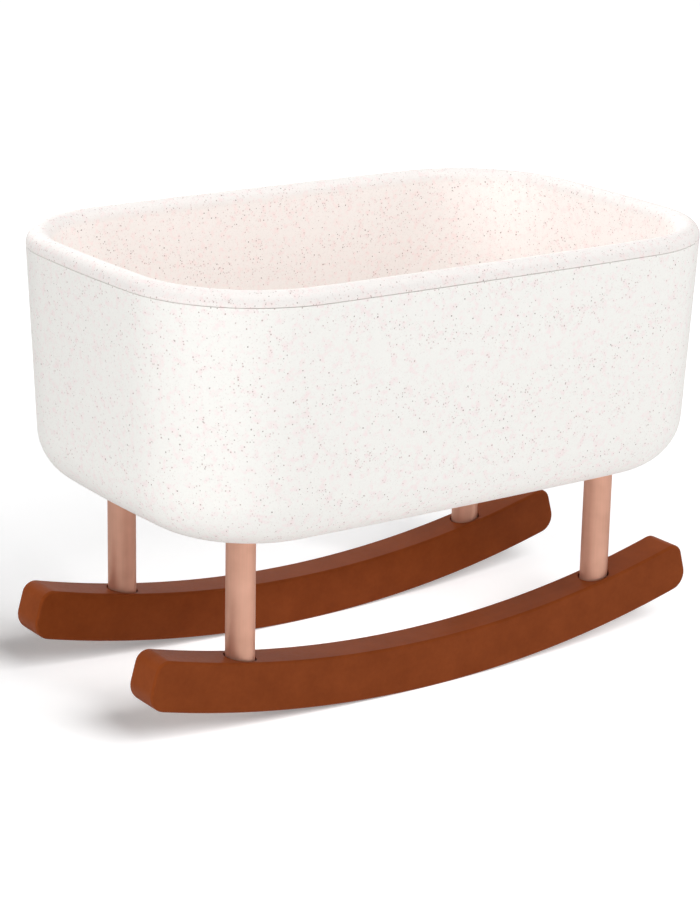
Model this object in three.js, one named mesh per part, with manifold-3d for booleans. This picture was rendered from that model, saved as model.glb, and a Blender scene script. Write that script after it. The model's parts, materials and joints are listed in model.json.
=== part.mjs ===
// A rocking crib: a rounded two-skin tub on four tube legs, which stand in two curved rockers.
//
// Millimetres, +Z up. The origin is on the floor, below the middle of the tub. X runs along the
// crib's length, which is the way it rocks, and Y across it.

import * as THREE from 'three';
import { mergeVertices } from 'three/addons/utils/BufferGeometryUtils.js';
import Module from 'manifold-3d';

const wasm = await Module();
wasm.setup();

// ---- Driving dimensions ----------------------------------------------------------------------

// Tub. Its plan is measured at the parting line, where the inner tub's lip meets the outer shell.
const tubLength = 420;
const tubWidth = 275;
const planCornerRadius = 86;
const longSideBow = 1.3;
const shortSideBow = 1.1;
const undersideHeight = 127.2;
const shellHeight = 153.2;
const wallDraft = 0.044;
const bottomFillet = 34.6;
const shellWall = 2.6;

// Inner tub, with the rolled lip that covers the top of the outer shell.
const lipWidth = 16;
const lipHeight = 8.8;
const linerWall = 2.4;
const linerFloorFillet = 28;
const tongueThickness = 1.5;
const tongueDepth = 4;

// Legs: the distance from the tub's sides to each leg's axis, and the tube.
const legFromTubEnd = 68.4;
const legFromTubSide = 65.9;
const legDiameter = 18.6;
const legTubeWall = 1.5;
const legEdgeRound = 1;
const plugLength = 14;
const shellSocketDepth = 16;
const rockerSocketDepth = 16;
const socketWall = 2.6;

// Rockers. The radius is that of the sole, the face that rolls on the floor.
const rockerSoleRadius = 798;
const rockerHeight = 32.4;
const rockerThickness = 26.4;
const rockerPastLeg = 75.8;
const rockerTopEndRadius = 8.4;
const rockerSoleEndRadius = 11.8;
const rockerEdgeRound = 1.8;
const rockerWall = 2.4;
const solePlateThickness = 2.4;
const soleScrewFromEnd = 34;

// Screws.
const screwShankDiameter = 2.8;
const screwHeadDiameter = 5.6;
const screwHeadHeight = 2.2;
const screwHeadChamfer = 0.8;
const crossRecessSpan = 3.2;
const crossRecessWidth = 0.9;
const crossRecessDepth = 1.3;
const legScrewLength = 16;
const linerScrewLength = 10;
const soleScrewLength = 10;
const screwSeatThickness = 2.6;
const screwBossDiameter = 8;
const linerScrewInboardX = 62;
const linerScrewInboardY = 22;

// Clearances.
const faceGap = 0.3;
const socketClearance = 1.1;
const recessClearance = 0.5;
const headSpace = 2;

// How finely round shapes are divided.
const planCornerSteps = 8;
const planSideSteps = 4;
const filletSteps = 5;
const lipSteps = 4;
const rockerArcSteps = 21;
const rockerCornerSteps = 4;
const tubeSegments = 24;
const smallRoundSegments = 12;

// ---- Sizes that follow from them ---------------------------------------------------------------

const seamHeight = undersideHeight + shellHeight;
const topHeight = seamHeight + lipHeight;
const legX = tubLength / 2 - legFromTubEnd;
const legY = tubWidth / 2 - legFromTubSide;
const legRadius = legDiameter / 2;
const legInnerRadius = legRadius - legTubeWall;
const socketRadius = legRadius + socketClearance;
const socketBossRadius = socketRadius + socketWall;
const shankHoleRadius = screwShankDiameter / 2 + faceGap;
const headRecessRadius = screwHeadDiameter / 2 + recessClearance;
const headRecessDepth = screwHeadHeight + recessClearance;
const screwPostRadius = headRecessRadius + socketWall;
const overcut = 5;

const shellSocketTop = undersideHeight + shellSocketDepth;
const shellBossTop = shellSocketTop + socketWall;
const linerUnderside = shellBossTop + faceGap + screwHeadHeight + headSpace;
const linerFloor = linerUnderside + linerWall;
const linerScrewX = legX - linerScrewInboardX;
const linerScrewY = legY - linerScrewInboardY;

const rockerTopRadius = rockerSoleRadius - rockerHeight;
const rockerLegAngle = Math.asin(legX / rockerSoleRadius);
const rockerEndAngle = rockerLegAngle + rockerPastLeg / rockerSoleRadius;
const soleEndAngle = rockerEndAngle - rockerSoleEndRadius / rockerSoleRadius;
const soleScrewAngle = rockerEndAngle - soleScrewFromEnd / rockerSoleRadius;
const soleScrewX = rockerSoleRadius * Math.sin(soleScrewAngle);

// The sole is a row of short flats. The middle one lies on the floor, so the arc's centre is a
// hair lower than the sole's radius.
const soleStepAngle = (2 * soleEndAngle) / rockerArcSteps;
const rockerCentreHeight = rockerSoleRadius * Math.cos(soleStepAngle / 2);
const rockerTopAt = (x) => rockerCentreHeight - Math.sqrt(rockerTopRadius ** 2 - x ** 2);
const rockerSoleAt = (x) => rockerCentreHeight - Math.sqrt(rockerSoleRadius ** 2 - x ** 2);
const rockerSocketFloor = rockerTopAt(legX) - rockerSocketDepth;

const corners = [
  { name: 'front_left', x: -1, y: -1 },
  { name: 'front_right', x: 1, y: -1 },
  { name: 'rear_left', x: -1, y: 1 },
  { name: 'rear_right', x: 1, y: 1 },
];
const sides = [
  { name: 'front', y: -1 },
  { name: 'rear', y: 1 },
];

// ---- Materials ---------------------------------------------------------------------------------

const speckledPlastic = new THREE.MeshStandardMaterial({ color: 0xf0ece6, roughness: 0.5 });
const roseMetal = new THREE.MeshStandardMaterial({ color: 0xc89682, roughness: 0.35, metalness: 0.9 });
const brownPlastic = new THREE.MeshStandardMaterial({ color: 0x824626, roughness: 0.32 });
const plugPlastic = new THREE.MeshStandardMaterial({ color: 0xb9b4ac, roughness: 0.6 });
const zincSteel = new THREE.MeshStandardMaterial({ color: 0xbfc0c2, roughness: 0.35, metalness: 1 });

// ---- Helpers -------------------------------------------------------------------------------------

/** Turns a closed three.js geometry into a solid that can be joined and cut. */
function solid(geometry) {
  const bare = geometry.clone();
  bare.deleteAttribute('normal');
  bare.deleteAttribute('uv');
  const merged = mergeVertices(bare);
  return new wasm.Manifold(
    new wasm.Mesh({
      numProp: 3,
      vertProperties: new Float32Array(merged.attributes.position.array),
      triVerts: new Uint32Array(merged.index.array),
    }),
  );
}

/** Turns a solid back into a three.js geometry. */
function geometryOf(body) {
  const mesh = body.getMesh();
  const geometry = new THREE.BufferGeometry();
  geometry.setAttribute('position', new THREE.BufferAttribute(mesh.vertProperties, 3));
  geometry.setIndex(new THREE.BufferAttribute(mesh.triVerts, 1));
  geometry.computeVertexNormals();
  return geometry;
}

/** An upright cylinder between two heights. */
function post(radius, x, y, low, high, segments = smallRoundSegments) {
  const geometry = new THREE.CylinderGeometry(radius, radius, high - low, segments);
  geometry.rotateX(Math.PI / 2);
  geometry.translate(x, y, (low + high) / 2);
  return solid(geometry);
}

/** A turned solid about the Z axis, from [radius, height] pairs that end on the axis or close. */
function turnedSolid(profile, segments) {
  const points = profile.map(([radius, height]) => new THREE.Vector2(radius, height));
  const geometry = new THREE.LatheGeometry(points, segments);
  geometry.rotateX(Math.PI / 2);
  return solid(geometry);
}

/** The radius of a side that stands out by its bow in the middle of its half-length. */
const bowRadius = (half, bow) => (half ** 2 + bow ** 2) / (2 * bow);

/**
 * The three arcs of the tub's plan in its first quarter: half the short side, the corner and half
 * the long side. Each runs on into the next without a kink.
 */
function planArcs() {
  const shortRadius = bowRadius(tubWidth / 2 - planCornerRadius, shortSideBow);
  const longRadius = bowRadius(tubLength / 2 - planCornerRadius, longSideBow);
  const shortX = tubLength / 2 - shortRadius;
  const longY = tubWidth / 2 - longRadius;
  // The corner's centre is where the circles on which it touches both sides cross.
  const fromShort = shortRadius - planCornerRadius;
  const fromLong = longRadius - planCornerRadius;
  const apart = Math.hypot(shortX, longY);
  const along = (fromShort ** 2 - fromLong ** 2 + apart ** 2) / (2 * apart);
  const aside = Math.sqrt(fromShort ** 2 - along ** 2);
  const cornerX = shortX - (along * shortX + aside * longY) / apart;
  const cornerY = (along * longY - aside * shortX) / apart;
  const shortEnd = Math.atan2(cornerY, cornerX - shortX);
  const longEnd = Math.atan2(cornerY - longY, cornerX);
  const [sideSteps, cornerSteps] = [planSideSteps / 2, planCornerSteps];
  return [
    { x: shortX, y: 0, radius: shortRadius, from: 0, to: shortEnd, steps: sideSteps },
    { x: cornerX, y: cornerY, radius: planCornerRadius, from: shortEnd, to: longEnd, steps: cornerSteps },
    { x: 0, y: longY, radius: longRadius, from: longEnd, to: Math.PI / 2, steps: sideSteps },
  ];
}

/** The tub's plan, moved inwards by an inset: bowed sides that run into large round corners. */
function planOutline(inset) {
  const quarter = [];
  planArcs().forEach(({ x, y, radius, from, to, steps }) => {
    const reach = radius - inset;
    for (let step = 0; step < steps; step += 1) {
      const angle = from + (to - from) * (step / steps);
      quarter.push([x + reach * Math.cos(angle), y + reach * Math.sin(angle)]);
    }
  });
  const [start, ...rest] = quarter;
  const top = [0, tubWidth / 2 - inset];
  const turnedBack = [...rest].reverse();
  return [
    start,
    ...rest,
    top,
    ...turnedBack.map(([x, y]) => [-x, y]),
    [-start[0], 0],
    ...rest.map(([x, y]) => [-x, -y]),
    [0, -top[1]],
    ...turnedBack.map(([x, y]) => [x, -y]),
  ];
}

/**
 * A bowl with the tub's plan. The profile holds [inset, height] pairs: from the middle of the
 * underside, up the outside, over the rim and down to the middle of the inner floor.
 */
function bowl(profile) {
  const rings = profile.map(([inset, height]) => planOutline(inset).map(([x, y]) => [x, y, height]));
  const count = rings[0].length;
  const lastRing = rings.length - 1;
  const positions = rings.flat(2);
  const underCentre = rings.length * count;
  const floorCentre = underCentre + 1;
  positions.push(0, 0, profile[0][1], 0, 0, profile[lastRing][1]);
  const triangles = [];
  for (let j = 0; j < count; j += 1) {
    const next = (j + 1) % count;
    triangles.push(underCentre, next, j);
    for (let ring = 0; ring < lastRing; ring += 1) {
      const low = ring * count;
      const high = low + count;
      triangles.push(low + j, low + next, high + next);
      triangles.push(low + j, high + next, high + j);
    }
    triangles.push(floorCentre, lastRing * count + j, lastRing * count + next);
  }
  const geometry = new THREE.BufferGeometry();
  geometry.setAttribute('position', new THREE.Float32BufferAttribute(positions, 3));
  geometry.setIndex(triangles);
  return solid(geometry);
}

/** One skin of a bowl as [inset, height] pairs: floor edge, fillet and the drafted wall's top. */
function skinProfile({ floor, fillet, topInset, topOfWall }) {
  const lean = Math.atan(wallDraft);
  const tangentHeight = floor + fillet * (1 - Math.sin(lean));
  const tangentInset = topInset + wallDraft * (topOfWall - tangentHeight);
  const centreInset = tangentInset + fillet * Math.cos(lean);
  const profile = [];
  for (let step = 0; step <= filletSteps; step += 1) {
    const angle = Math.PI / 2 + (lean - Math.PI / 2) * (step / filletSteps);
    profile.push([
      centreInset - fillet * Math.cos(angle),
      floor + fillet * (1 - Math.sin(angle)),
    ]);
  }
  profile.push([topInset, topOfWall]);
  return profile;
}

/** Points of an arc about the rockers' centre, by radius and by angle from straight down. */
function arcAbout(radius, from, to, steps) {
  const points = [];
  for (let step = 0; step <= steps; step += 1) {
    const angle = from + (to - from) * (step / steps);
    points.push([radius * Math.sin(angle), rockerCentreHeight - radius * Math.cos(angle)]);
  }
  return points;
}

/** A curved bar of the rockers' shape, extruded across the crib and centred on Y. */
function curvedBar(points, width, edgeRound = 0) {
  const shape = new THREE.Shape(points.map(([x, z]) => new THREE.Vector2(x, z)));
  const geometry = new THREE.ExtrudeGeometry(shape, {
    depth: width - 2 * edgeRound,
    bevelEnabled: edgeRound > 0,
    bevelThickness: edgeRound,
    bevelSize: edgeRound,
    bevelOffset: -edgeRound,
    bevelSegments: 2,
  });
  geometry.rotateX(Math.PI / 2);
  geometry.translate(0, width / 2 - edgeRound, 0);
  return solid(geometry);
}

/** The band between two radii about the rockers' centre, out to an angle on both sides. */
function band(innerRadius, outerRadius, angle, width) {
  const sole = arcAbout(outerRadius, -angle, angle, rockerArcSteps);
  const top = arcAbout(innerRadius, angle, -angle, rockerArcSteps);
  return curvedBar([...sole, ...top], width);
}

/** One rounded corner at a rocker's right-hand end, at the sole or at the top. */
function endCorner(atSole) {
  const round = atSole ? rockerSoleEndRadius : rockerTopEndRadius;
  const centreRadius = atSole ? rockerSoleRadius - round : rockerTopRadius + round;
  const centreAngle = rockerEndAngle - Math.asin(round / centreRadius);
  const centreX = centreRadius * Math.sin(centreAngle);
  const centreZ = rockerCentreHeight - centreRadius * Math.cos(centreAngle);
  const from = atSole ? centreAngle - Math.PI / 2 : rockerEndAngle;
  const to = atSole ? rockerEndAngle : centreAngle + Math.PI / 2;
  const points = [];
  for (let step = 0; step <= rockerCornerSteps; step += 1) {
    const angle = from + (to - from) * (step / rockerCornerSteps);
    points.push([centreX + round * Math.cos(angle), centreZ + round * Math.sin(angle)]);
  }
  return points;
}

/** A rocker's whole side view: sole, rounded end, top and the other end mirrored. */
function rockerOutline() {
  const mirrored = (points) => points.map(([x, z]) => [-x, z]).reverse();
  const soleCorner = endCorner(true);
  const topCorner = endCorner(false);
  const soleEnd = Math.atan2(soleCorner[0][0], rockerCentreHeight - soleCorner[0][1]);
  const topStart = topCorner[rockerCornerSteps];
  const topEnd = Math.atan2(topStart[0], rockerCentreHeight - topStart[1]);
  const insideArc = (radius, end) => arcAbout(radius, -end, end, rockerArcSteps).slice(1, -1);
  return [
    ...insideArc(rockerSoleRadius, soleEnd),
    ...soleCorner,
    ...topCorner,
    ...insideArc(rockerTopRadius, topEnd).reverse(),
    ...mirrored(topCorner),
    ...mirrored(soleCorner),
  ];
}

/** A pan-head screw along +Z, its seat at the origin and its head below, with a cross recess. */
function screwGeometry(length) {
  const shank = screwShankDiameter / 2;
  const head = screwHeadDiameter / 2;
  const body = turnedSolid(
    [
      [0, -screwHeadHeight],
      [head - screwHeadChamfer, -screwHeadHeight],
      [head, screwHeadChamfer - screwHeadHeight],
      [head, 0],
      [shank, 0],
      [shank, length - shank],
      [0, length],
    ],
    smallRoundSegments,
  );
  const slot = (x, y) => {
    const box = new THREE.BoxGeometry(x, y, 2 * crossRecessDepth);
    return solid(box.translate(0, 0, -screwHeadHeight));
  };
  const lengthwise = slot(crossRecessSpan, crossRecessWidth);
  const crosswise = slot(crossRecessWidth, crossRecessSpan);
  return geometryOf(body.subtract(lengthwise).subtract(crosswise));
}

// ---- The assembly ---------------------------------------------------------------------------------

const crib = new THREE.Group();

function addPiece(name, geometry, material, [x, y, z] = [0, 0, 0]) {
  const mesh = new THREE.Mesh(geometry, material);
  mesh.name = name;
  mesh.position.set(x, y, z);
  crib.add(mesh);
  return mesh;
}

// Outer shell: an open bowl with a socket for each leg standing on its floor, and a screw post
// with a recess in the underside below each boss of the inner tub.
const shellFloor = undersideHeight + shellWall;
const shellOutside = skinProfile({
  floor: undersideHeight,
  fillet: bottomFillet,
  topInset: 0,
  topOfWall: seamHeight,
});
const shellInside = skinProfile({
  floor: shellFloor,
  fillet: bottomFillet - shellWall,
  topInset: shellWall,
  topOfWall: seamHeight,
});
const shellPostTop = undersideHeight + headRecessDepth + screwSeatThickness;

function outerShell() {
  let shell = bowl([...shellOutside, ...shellInside.reverse()]);
  corners.forEach(({ x, y }) => {
    const [socketX, socketY] = [x * legX, y * legY];
    const [screwX, screwY] = [x * linerScrewX, y * linerScrewY];
    const low = undersideHeight - overcut;
    const midFloor = shellFloor - shellWall / 2;
    const boss = post(socketBossRadius, socketX, socketY, midFloor, shellBossTop, tubeSegments);
    const screwPost = post(screwPostRadius, screwX, screwY, midFloor, shellPostTop);
    shell = shell.add(boss).add(screwPost);
    shell = shell.subtract(post(socketRadius, socketX, socketY, low, shellSocketTop, tubeSegments));
    shell = shell.subtract(post(shankHoleRadius, socketX, socketY, low, shellBossTop + overcut));
    const recessTop = undersideHeight + headRecessDepth;
    shell = shell.subtract(post(headRecessRadius, screwX, screwY, low, recessTop));
    shell = shell.subtract(post(shankHoleRadius, screwX, screwY, low, shellPostTop + overcut));
  });
  return geometryOf(shell);
}

// Inner tub: its lip rolls out over the shell and ends at the parting line, and a tongue below
// the line keeps the two skins flush. Four bosses under its floor take the screws.
function innerTub() {
  const skirtBottom = seamHeight + faceGap;
  const tongueOuter = shellWall + faceGap + wallDraft * tongueDepth;
  const tongueInner = tongueOuter + tongueThickness;
  const wallOutside = skinProfile({
    floor: linerUnderside,
    fillet: linerFloorFillet + linerWall,
    topInset: lipWidth - linerWall,
    topOfWall: seamHeight,
  });
  const wallInside = skinProfile({
    floor: linerFloor,
    fillet: linerFloorFillet,
    topInset: lipWidth,
    topOfWall: seamHeight,
  });
  const lip = [];
  for (let step = 0; step <= 2 * lipSteps; step += 1) {
    const angle = (Math.PI / 2) * (step / lipSteps);
    lip.push([
      (lipWidth / 2) * (1 - Math.cos(angle)),
      skirtBottom + (topHeight - skirtBottom) * Math.sin(angle),
    ]);
  }
  const underLip = topHeight - linerWall;
  let liner = bowl([
    ...wallOutside,
    [lipWidth - linerWall, underLip - linerWall],
    [lipWidth - linerWall - tongueThickness, underLip],
    [tongueInner + tongueThickness, underLip],
    [tongueInner, underLip - linerWall],
    [tongueInner, seamHeight - tongueDepth],
    [tongueOuter, seamHeight - tongueDepth],
    [tongueOuter, skirtBottom],
    ...lip,
    ...wallInside.reverse(),
  ]);
  corners.forEach(({ x, y }) => {
    const [screwX, screwY] = [x * linerScrewX, y * linerScrewY];
    const bossLow = shellPostTop + faceGap;
    const bossHigh = linerUnderside + linerWall / 2;
    liner = liner.add(post(screwBossDiameter / 2, screwX, screwY, bossLow, bossHigh));
    const holeTop = shellPostTop + linerScrewLength - screwSeatThickness + recessClearance;
    liner = liner.subtract(post(shankHoleRadius, screwX, screwY, bossLow - overcut, holeTop));
  });
  return geometryOf(liner);
}

addPiece('outer_shell', outerShell(), speckledPlastic);
addPiece('inner_tub', innerTub(), speckledPlastic);

// Legs: a tube with a plug in each end, held by a screw from inside the shell and another from
// under the rocker.
const legLow = rockerSocketFloor + faceGap;
const legHigh = shellSocketTop - faceGap;
const legProfile = [
  [legInnerRadius, legLow],
  [legRadius - legEdgeRound, legLow],
  [legRadius, legLow + legEdgeRound],
  [legRadius, legHigh - legEdgeRound],
  [legRadius - legEdgeRound, legHigh],
  [legInnerRadius, legHigh],
  [legInnerRadius, legLow],
];
const plugRadius = legInnerRadius - faceGap;
const plugProfile = [
  [shankHoleRadius, 0],
  [plugRadius, 0],
  [plugRadius, plugLength - legEdgeRound],
  [plugRadius - legEdgeRound, plugLength],
  [shankHoleRadius, plugLength],
  [shankHoleRadius, 0],
];
const legTube = geometryOf(turnedSolid(legProfile, tubeSegments));
const legPlug = geometryOf(turnedSolid(plugProfile, smallRoundSegments));
const legScrew = screwGeometry(legScrewLength);
const linerScrew = screwGeometry(linerScrewLength);
const linerScrewSeat = undersideHeight + headRecessDepth - faceGap;
const rockerPostTop = rockerSocketFloor - socketWall - faceGap;
const legScrewSeat = rockerPostTop - screwSeatThickness;

corners.forEach(({ name, x, y }) => {
  const at = [x * legX, y * legY];
  addPiece(`${name}_leg`, legTube, roseMetal, [...at, 0]);
  addPiece(`${name}_leg_lower_plug`, legPlug, plugPlastic, [...at, legLow]);
  addPiece(`${name}_leg_lower_screw`, legScrew, zincSteel, [...at, legScrewSeat - faceGap]);
  const upperPlug = addPiece(`${name}_leg_upper_plug`, legPlug, plugPlastic, [...at, legHigh]);
  upperPlug.rotation.x = Math.PI;
  const upperScrewAt = [...at, shellBossTop + faceGap];
  const upperScrew = addPiece(`${name}_leg_upper_screw`, legScrew, zincSteel, upperScrewAt);
  upperScrew.rotation.x = Math.PI;
  const linerScrewAt = [x * linerScrewX, y * linerScrewY, linerScrewSeat];
  addPiece(`${name}_tub_screw`, linerScrew, zincSteel, linerScrewAt);
});

// Rockers: a hollow curved bar, open along its sole, with a socket for each leg. A sole plate
// closes it, and its posts carry the heads of the leg screws and of the two end screws.
const cavityWidth = rockerThickness - 2 * rockerWall;
const plateWidth = cavityWidth - 2 * faceGap;
const plateTopRadius = rockerSoleRadius - solePlateThickness;
const plateEndAngle = soleEndAngle - faceGap / rockerSoleRadius;
const solePostTop = rockerSoleAt(soleScrewX) + solePlateThickness + headRecessDepth + screwSeatThickness;
const soleScrewSeat = solePostTop - screwSeatThickness;
const ends = [-1, 1];

function rockerShell() {
  const whole = curvedBar(rockerOutline(), rockerThickness, rockerEdgeRound);
  const roof = rockerTopRadius + rockerWall;
  let shell = whole.subtract(band(roof, rockerSoleRadius + overcut, soleEndAngle, cavityWidth));
  ends.forEach((side) => {
    const [socketX, screwX] = [side * legX, side * soleScrewX];
    const top = rockerTopAt(legX) + overcut;
    const holder = post(socketBossRadius, socketX, 0, rockerSocketFloor - socketWall, top, tubeSegments);
    const screwTop = rockerTopAt(soleScrewX);
    const boss = post(screwBossDiameter / 2, screwX, 0, solePostTop + faceGap, screwTop);
    shell = shell.add(holder.intersect(whole)).add(boss.intersect(whole));
    shell = shell.subtract(post(socketRadius, socketX, 0, rockerSocketFloor, top + overcut, tubeSegments));
    shell = shell.subtract(post(shankHoleRadius, socketX, 0, 0, top));
    const holeTop = soleScrewSeat + soleScrewLength + recessClearance;
    shell = shell.subtract(post(shankHoleRadius, screwX, 0, solePostTop - overcut, holeTop));
  });
  return shell;
}

function solePlate() {
  let plate = band(plateTopRadius, rockerSoleRadius, plateEndAngle, plateWidth);
  const screwPoints = [
    { x: legX, postTop: rockerPostTop },
    { x: soleScrewX, postTop: solePostTop },
  ];
  const midPlateRadius = rockerSoleRadius - solePlateThickness / 2;
  const abovePlate = band(rockerTopRadius, midPlateRadius, plateEndAngle, plateWidth);
  screwPoints.forEach(({ x, postTop }) => {
    ends.forEach((side) => {
      const screwPost = post(screwPostRadius, side * x, 0, 0, postTop).intersect(abovePlate);
      plate = plate.add(screwPost);
      const seat = postTop - screwSeatThickness;
      plate = plate.subtract(post(headRecessRadius, side * x, 0, -overcut, seat));
      plate = plate.subtract(post(shankHoleRadius, side * x, 0, -overcut, postTop + overcut));
    });
  });
  return plate;
}

const rockerShellGeometry = geometryOf(rockerShell());
const solePlateGeometry = geometryOf(solePlate());
const soleScrew = screwGeometry(soleScrewLength);

sides.forEach(({ name, y }) => {
  addPiece(`${name}_rocker`, rockerShellGeometry, brownPlastic, [0, y * legY, 0]);
  addPiece(`${name}_rocker_sole_plate`, solePlateGeometry, brownPlastic, [0, y * legY, 0]);
  ends.forEach((side) => {
    const end = side < 0 ? 'left' : 'right';
    const at = [side * soleScrewX, y * legY, soleScrewSeat - faceGap];
    addPiece(`${name}_rocker_${end}_sole_screw`, soleScrew, zincSteel, at);
  });
});

export default crib;
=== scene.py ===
# %% [markdown]
# # A doll's rocking crib
# The crib is a speckled plastic tub with a rolled lip, on four rose-gold legs that stand in two
# curved brown rockers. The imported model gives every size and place, and each visible piece is
# modelled again here, finely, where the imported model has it. Lengths are in metres.

import json
import math

import bmesh
import bpy
from mathutils import Matrix, Vector
from mathutils.geometry import intersect_sphere_sphere_2d


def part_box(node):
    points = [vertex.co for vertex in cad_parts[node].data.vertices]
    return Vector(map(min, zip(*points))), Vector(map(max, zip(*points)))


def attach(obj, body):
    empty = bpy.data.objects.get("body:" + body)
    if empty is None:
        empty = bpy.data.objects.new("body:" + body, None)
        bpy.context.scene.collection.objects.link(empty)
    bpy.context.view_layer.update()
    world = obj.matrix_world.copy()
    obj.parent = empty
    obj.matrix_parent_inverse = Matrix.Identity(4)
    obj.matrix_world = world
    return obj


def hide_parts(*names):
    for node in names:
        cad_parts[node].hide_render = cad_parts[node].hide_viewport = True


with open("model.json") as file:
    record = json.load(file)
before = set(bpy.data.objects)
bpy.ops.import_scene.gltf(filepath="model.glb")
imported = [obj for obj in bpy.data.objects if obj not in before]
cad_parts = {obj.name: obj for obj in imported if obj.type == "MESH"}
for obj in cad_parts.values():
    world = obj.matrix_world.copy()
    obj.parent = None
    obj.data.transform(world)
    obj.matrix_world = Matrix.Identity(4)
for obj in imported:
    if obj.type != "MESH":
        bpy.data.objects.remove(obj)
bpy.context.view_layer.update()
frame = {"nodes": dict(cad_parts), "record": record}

# %% [markdown]
# ## Sizes
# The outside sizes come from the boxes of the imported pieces. A box can't tell how round a corner
# is or how far a wall leans, so those few sizes are named here, as the mould maker would have
# them on the drawing.

# %% Read the sizes of the tub, legs and rockers
MM = 0.001

shell_low, shell_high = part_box("outer_shell")
tub_low, tub_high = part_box("inner_tub")
TUB_LENGTH = shell_high.x - shell_low.x
TUB_WIDTH = shell_high.y - shell_low.y
UNDERSIDE = shell_low.z
SEAM = shell_high.z
RIM_TOP = tub_high.z

PLAN_CORNER = 86 * MM
LONG_SIDE_BOW = 1.3 * MM
SHORT_SIDE_BOW = 1.1 * MM
LIP_FULLNESS = 0.995
TONGUE_DEPTH = 4 * MM
WALL_DRAFT = 0.044
WALL_TURN = math.pi / 2 - math.atan(WALL_DRAFT)
BOTTOM_FILLET = 34.6 * MM
SHELL_WALL = 2.6 * MM
LINER_WALL = 2.4 * MM
LIP_WIDTH = 16 * MM
SEAM_GAP = 0.3 * MM
CRISP_ROUND = 0.25 * MM
FLOOR_FILLET = 28 * MM

leg_low, leg_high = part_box("front_right_leg")
LEG_X = (leg_low.x + leg_high.x) / 2
LEG_Y = -(leg_low.y + leg_high.y) / 2
LEG_RADIUS = (leg_high.x - leg_low.x) / 2
LEG_WALL = 1.5 * MM
LEG_END_ROUND = LEG_WALL * 0.45
SOCKET_CLEARANCE = 1.1 * MM
SOCKET_WALL = 2.6 * MM

rocker_low, rocker_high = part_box("front_rocker")
ROCKER_THICKNESS = rocker_high.y - rocker_low.y
SOLE_RADIUS = 798 * MM
ROCKER_HEIGHT = 32.4 * MM
ROCKER_PAST_LEG = 75.8 * MM
TOP_END_ROUND = 8.4 * MM
SOLE_END_ROUND = 11.8 * MM
ROCKER_EDGE_ROUND = 1.8 * MM
ROCKER_WALL = 2.4 * MM
SOLE_PLATE = 2.4 * MM

TOP_RADIUS = SOLE_RADIUS - ROCKER_HEIGHT
END_ANGLE = math.asin(LEG_X / SOLE_RADIUS) + ROCKER_PAST_LEG / SOLE_RADIUS
print(f"tub {TUB_LENGTH:.4f} x {TUB_WIDTH:.4f}, seam at {SEAM:.4f}, rim at {RIM_TOP:.4f}")
print(f"legs at x {LEG_X:.4f}, y {LEG_Y:.4f}, radius {LEG_RADIUS:.4f}")
print(f"legs from {leg_low.z:.4f} up to {leg_high.z:.4f}")


def frame_mount(name):
    """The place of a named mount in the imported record."""
    mount = next(entry for entry in frame["record"]["mounts"] if entry["name"] == name)
    return Vector(mount["pos_m"])


# %% [markdown]
# ## Working in edit mode from code
# Each piece starts as a primitive and is shaped in edit mode, as it would be by hand. By hand the
# next step is picked with the mouse. In code it is picked by a rule, such as "the edges at the
# underside", so these helpers open a piece, select by a rule and say how much they found.


# %% Helpers that open a piece and select by a rule
NEAR_ENOUGH = 0.02 * MM
REAL_TURN = math.radians(20)


def pick(piece):
    """Selects one object and makes it the active one."""
    bpy.ops.object.select_all(action="DESELECT")
    piece.select_set(True)
    bpy.context.view_layer.objects.active = piece


def open_piece(piece):
    pick(piece)
    bpy.ops.object.mode_set(mode="EDIT")
    bpy.ops.mesh.reveal()


def close_piece():
    bpy.ops.object.mode_set(mode="OBJECT")


def choose(piece, kind, wanted):
    """Selects only the VERT, EDGE or FACE elements for which wanted(element) is true."""
    bpy.ops.mesh.select_mode(type=kind)
    bpy.ops.mesh.select_all(action="DESELECT")
    mesh = bmesh.from_edit_mesh(piece.data)
    elements = {"VERT": mesh.verts, "EDGE": mesh.edges, "FACE": mesh.faces}[kind]
    chosen = [element for element in elements if wanted(element)]
    for element in chosen:
        element.select_set(True)
    mesh.select_flush_mode()
    bmesh.update_edit_mesh(piece.data)
    return len(chosen)


def at_height(element, height):
    """True for an edge or a face that lies level at that height."""
    return all(abs(vert.co.z - height) < NEAR_ENOUGH for vert in element.verts)


def is_turn_at(edge, height):
    """True for an edge at that height where the surface really turns."""
    return at_height(edge, height) and edge.calc_face_angle(0) > REAL_TURN


# %% [markdown]
# ## Solids, walls and rounds
# Pieces are cut by other solids, thickened from a skin to a wall, and rounded. These helpers do
# each of those in the same way for every piece. Round things get more sides where they are seen.

# %% Helpers that add, cut, thicken and round pieces
BOSS_SIDES = 48
HOLE_SIDES = 24
RECESS_SIDES = 32
HIDDEN_SOCKET_SIDES = 64
SEEN_ROUND_SIDES = 96
SHARP_ANGLE = 1.0
SMOOTH_ANGLE = math.radians(30)


def new_piece(name):
    """Names the primitive just added, and leaves it at the origin with its place in its mesh."""
    piece = bpy.context.active_object
    piece.name = name
    piece.data.name = name
    bpy.ops.object.transform_apply(location=True, rotation=True, scale=True)
    return piece


def apply_modifier(piece, kind, **settings):
    pick(piece)
    modifier = piece.modifiers.new(kind.title(), kind)
    for key, value in settings.items():
        setattr(modifier, key, value)
    bpy.ops.object.modifier_apply(modifier=modifier.name)


def cut(piece, tool, operation="DIFFERENCE"):
    """Cuts a tool out of a piece, or joins it on, and throws the tool away."""
    apply_modifier(piece, "BOOLEAN", operation=operation, object=tool, solver="EXACT")
    bpy.data.objects.remove(tool, do_unlink=True)


def thicken(piece, thickness):
    """Gives an open skin its wall, on the inside."""
    apply_modifier(piece, "SOLIDIFY", thickness=thickness, offset=-1, use_even_offset=True)


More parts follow.
